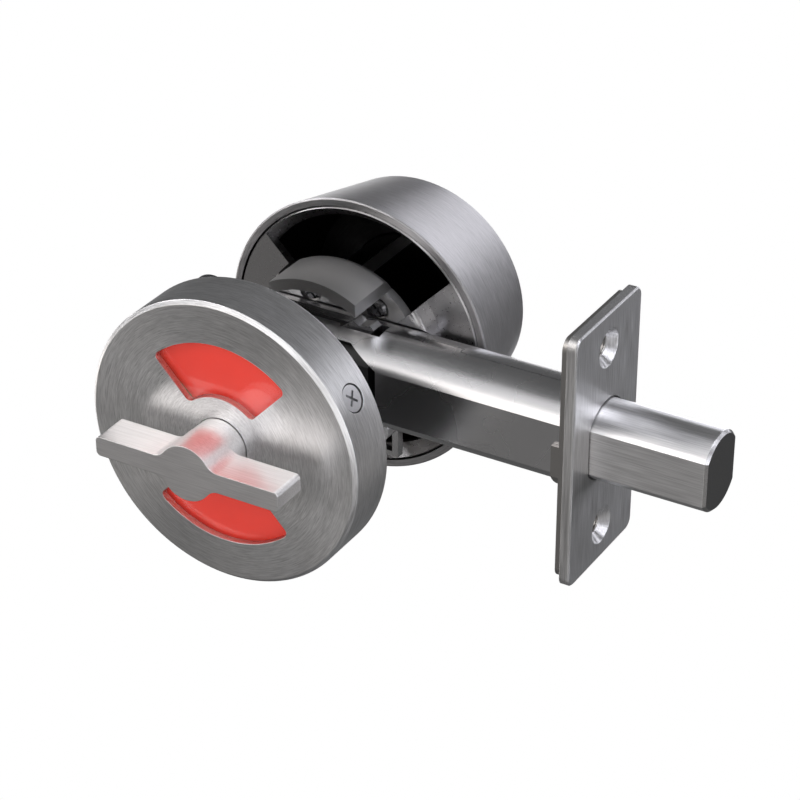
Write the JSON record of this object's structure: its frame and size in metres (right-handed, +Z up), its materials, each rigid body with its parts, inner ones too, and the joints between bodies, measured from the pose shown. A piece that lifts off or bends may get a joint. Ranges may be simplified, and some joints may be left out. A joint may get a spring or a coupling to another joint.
{
  "type": "deadbolt lock",
  "caption": "Tubular deadbolt: thumbturn and window rose inside, long bolt with a square faceplate, and a keyed cylinder in a free-spinning tapered collar outside.",
  "frame": {"origin": "the point where the spindle axis, which is the axis of the door's large bore, crosses the bolt's axis", "axes": "+X along the bolt as it is thrown, -Y to the inside of the room where the thumbturn is, +Y to the outside where the key goes, +Z up"},
  "size_m": [0.122, 0.0934, 0.0632],
  "materials": {
    "satin_steel": "satin brushed stainless steel",
    "zinc_steel": "smooth zinc plated steel",
    "dark_steel": "dark oxide steel",
    "cast_grey": "satin dark grey coated casting",
    "black_plastic": "black glass-filled plastic",
    "clear_lens": "clear moulded window",
    "disc_plastic": "white plastic",
    "red_print": "red enamel",
    "green_print": "green enamel",
    "hard_steel": "hardened steel",
    "pin_brass": "brass",
    "spring_steel": "spring wire"
  },
  "bodies": {
    "root": {"inside_rose": "satin_steel", "lens_upper": "clear_lens", "lens_lower": "clear_lens", "inside_plate": "black_plastic", "rose_screw": "satin_steel", "mounting_screws": "zinc_steel", "wave_washer": "zinc_steel", "bolt_housing": "zinc_steel", "carrier_near": "black_plastic", "carrier_far": "black_plastic", "bolt_guide": "zinc_steel", "face_backer": "dark_steel", "faceplate": "satin_steel", "plate_clip": "dark_steel", "crank_guard": "cast_grey", "guard_screws": "zinc_steel", "outer_plate": "cast_grey", "cylinder_screws": "zinc_steel", "cylinder_body": "satin_steel", "driver_pins": "pin_brass", "pin_springs": "spring_steel", "pin_cover": "zinc_steel"},
    "turn": {"thumbturn": "satin_steel", "turn_clip": "dark_steel", "indicator_disc": "disc_plastic", "indicator_red": "red_print", "indicator_green": "green_print", "spindle": "zinc_steel", "crank": "dark_steel", "drive_pin": "zinc_steel", "tailpiece": "zinc_steel"},
    "bolt": {"bolt": "satin_steel", "bolt_insert": "hard_steel", "bolt_slide": "dark_steel", "slide_rivets": "zinc_steel"},
    "plug": {"key_plug": "satin_steel", "plug_clip": "dark_steel", "key_pins": "pin_brass"},
    "collar": {"outer_collar": "satin_steel"}
  },
  "joints": [
    {"name": "turn", "type": "hinge", "parent": "root", "child": "turn", "pos_m": [0, 0, 0], "axis": [0, 1, 0], "range_deg": [0, 90]},
    {"name": "throw", "type": "slide", "parent": "root", "child": "bolt", "axis": [1, 0, 0], "range_m": [-0.0254, 0]},
    {"name": "key_turn", "type": "hinge", "parent": "root", "child": "plug", "pos_m": [0, 0.03, 0], "axis": [0, 1, 0], "range_deg": [-90, 90]},
    {"name": "collar_spin", "type": "hinge", "parent": "root", "child": "collar", "pos_m": [0, 0.03, 0], "axis": [0, 1, 0], "continuous": true}
  ],
  "couplings": [
    {"joint": "turn", "follows": "throw", "rad_per_m": -61.842}
  ]
}
